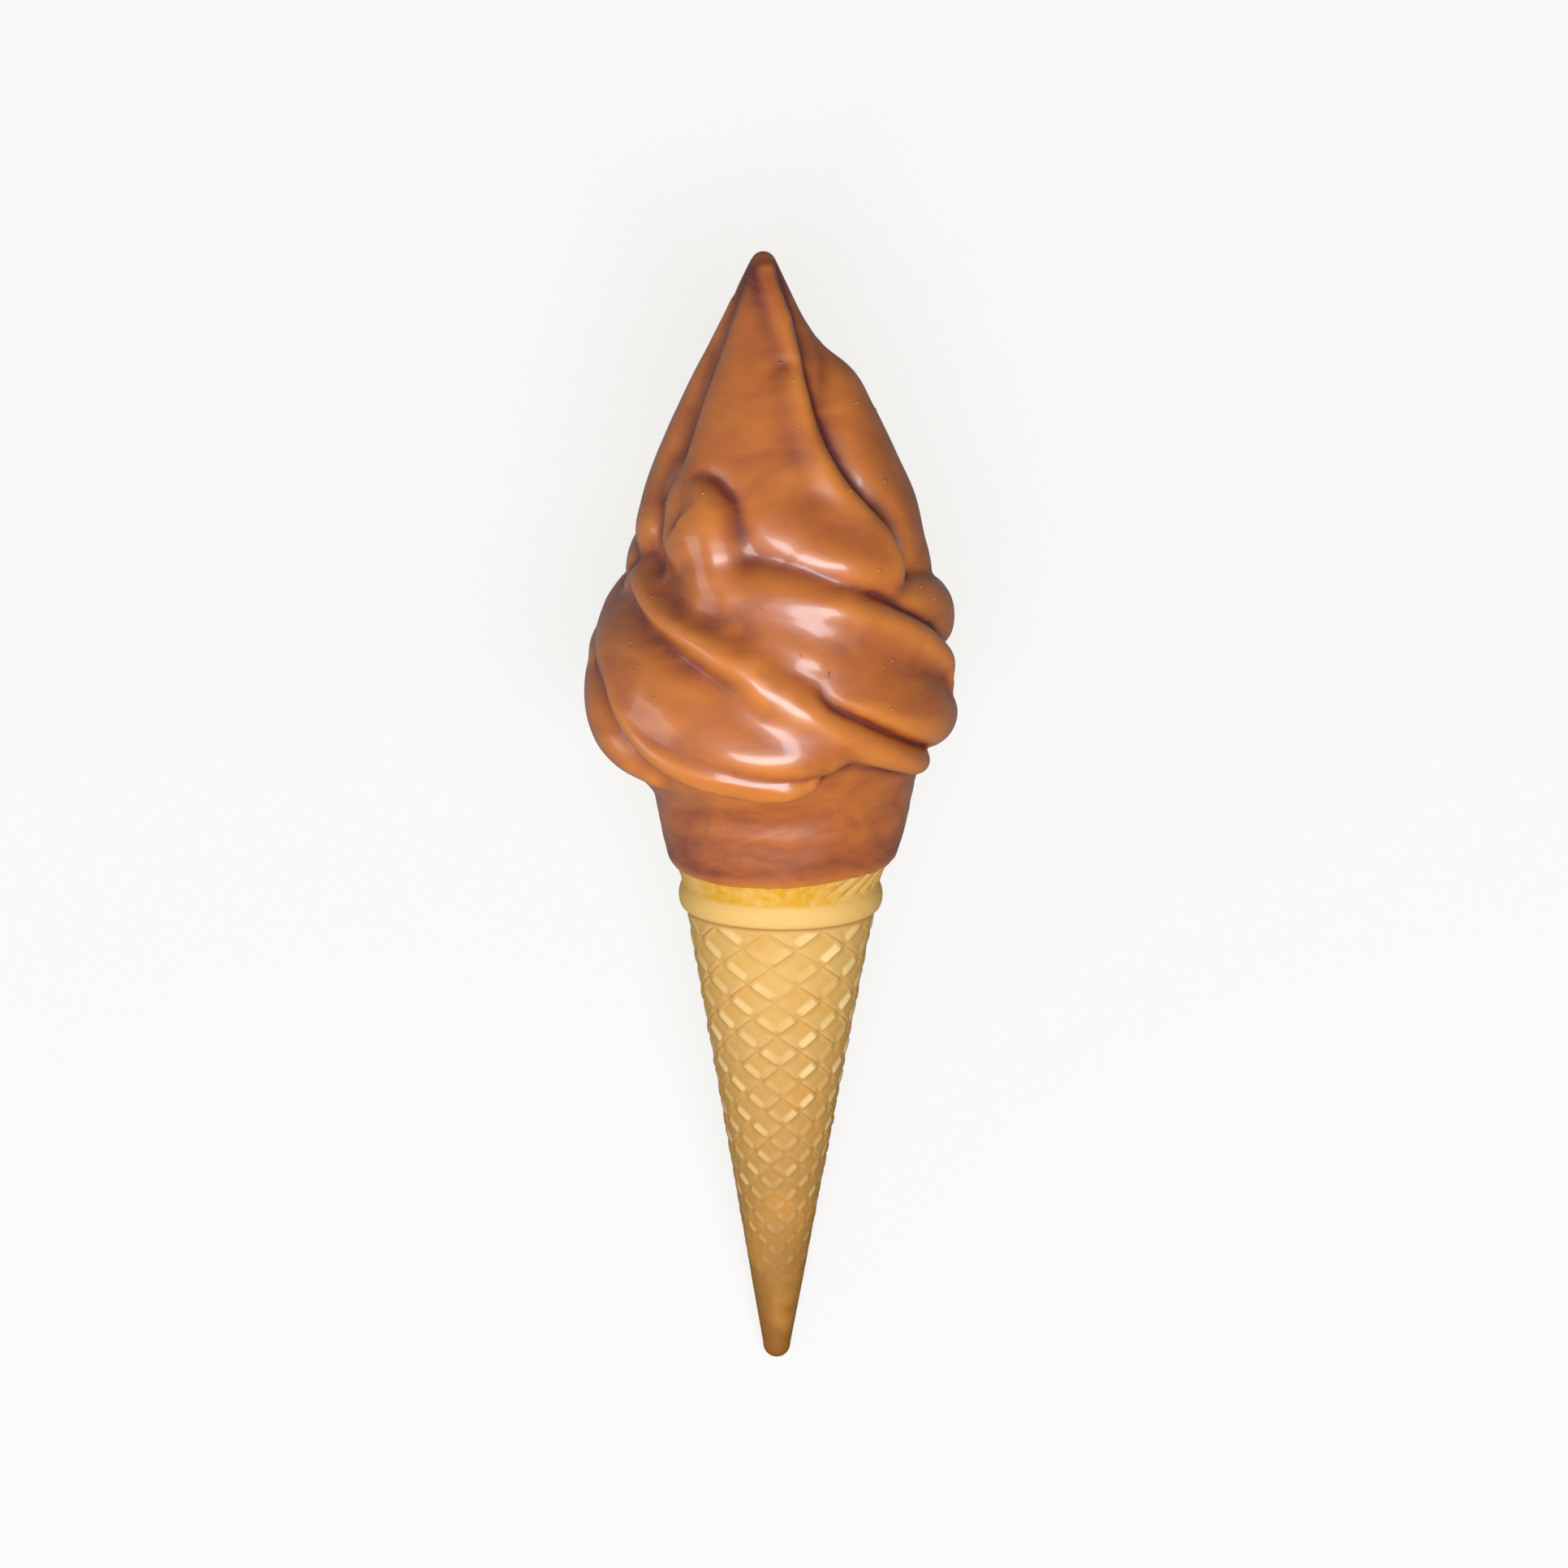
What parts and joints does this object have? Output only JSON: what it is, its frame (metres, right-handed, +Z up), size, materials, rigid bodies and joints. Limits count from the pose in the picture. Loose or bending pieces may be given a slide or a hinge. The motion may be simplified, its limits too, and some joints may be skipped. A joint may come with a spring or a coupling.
{
  "type": "chocolate-dipped soft-serve ice cream cone",
  "caption": "Tall soft-serve swirl with a milk chocolate dip, in a slim moulded wafer cone with a lozenge lattice, lying on its back.",
  "frame": {"origin": "centre of the bounding box in X and Y, at the ground", "axes": "+Y from the wafer's tip to the peak of the swirl, +Z up, and the shown side faces up"},
  "size_m": [0.078, 0.2318, 0.0792],
  "materials": {
    "milk_chocolate_coat": "semi-gloss milk chocolate coat over soft serve",
    "baked_wafer": "matt baked wafer, browner toward the tip"
  },
  "bodies": {
    "root": {"dipped_swirl": "milk_chocolate_coat", "wafer_cone": "baked_wafer"}
  },
  "joints": []
}
